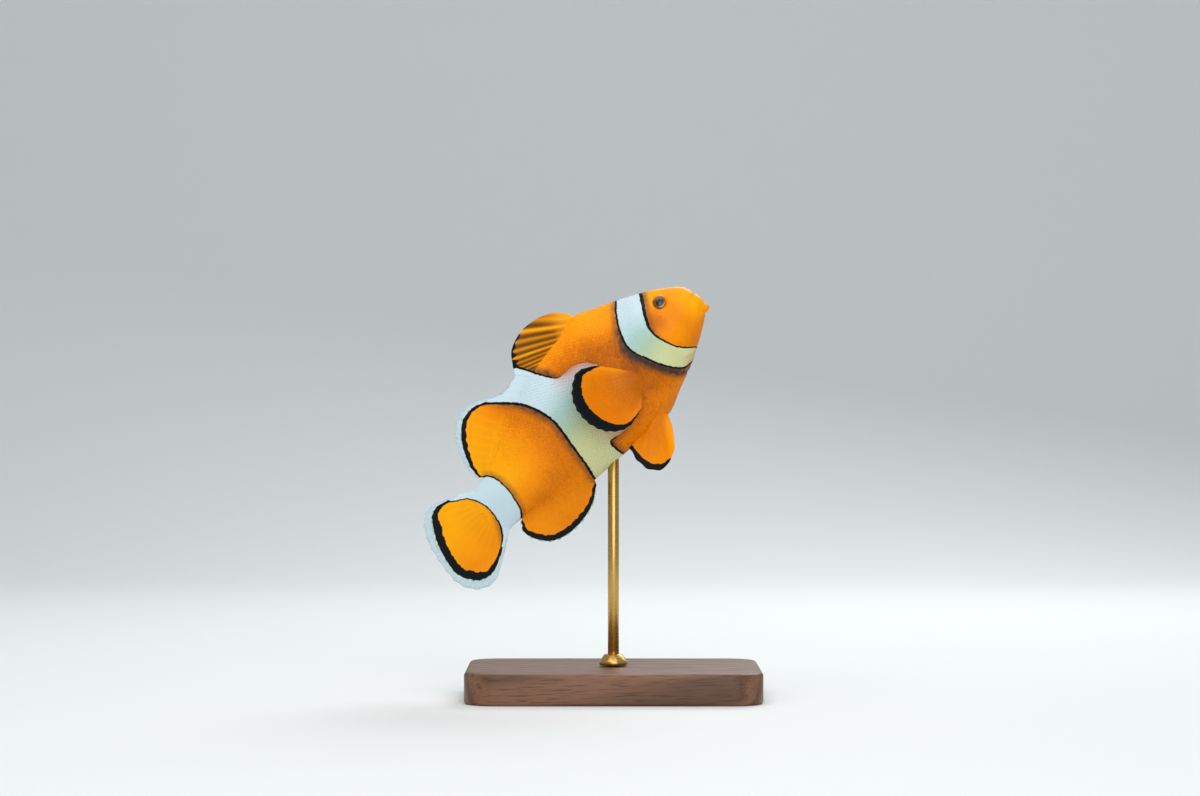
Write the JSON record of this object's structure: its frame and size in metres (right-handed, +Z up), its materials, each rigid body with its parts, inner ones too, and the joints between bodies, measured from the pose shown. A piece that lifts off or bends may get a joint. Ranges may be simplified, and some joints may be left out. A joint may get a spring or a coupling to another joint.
{
  "type": "clownfish display model",
  "caption": "Life-size clownfish, swimming nose up with fins spread, held above a flat rounded base by one upright rod.",
  "frame": {"origin": "centre of the stand's underside, on the rod's axis", "axes": "+Z up; +X the way the fish swims, nose up at about 45 degrees; +Y towards the fish's left, so that its right flank faces -Y"},
  "size_m": [0.076, 0.046, 0.0925],
  "materials": {
    "fish_skin": "scaled orange skin with three white, black-edged bands and black fin margins, wet satin sheen",
    "fish_eye": "glossy clear eye with a dark pupil and an orange iris",
    "stand_wood": "oiled walnut, satin",
    "stand_brass": "satin brass"
  },
  "bodies": {
    "root": {"head": "fish_skin", "lower_jaw": "fish_skin", "gill_cover_right": "fish_skin", "gill_cover_left": "fish_skin", "trunk": "fish_skin", "rear_body": "fish_skin", "caudal_peduncle": "fish_skin", "caudal_fin": "fish_skin", "dorsal_fin_spiny": "fish_skin", "dorsal_fin_soft": "fish_skin", "anal_fin": "fish_skin", "pectoral_fin_right": "fish_skin", "pectoral_fin_left": "fish_skin", "pelvic_fin_right": "fish_skin", "pelvic_fin_left": "fish_skin", "eye_right": "fish_eye", "eye_left": "fish_eye", "stand_base": "stand_wood", "stand_collar": "stand_brass", "stand_rod": "stand_brass"}
  },
  "joints": []
}
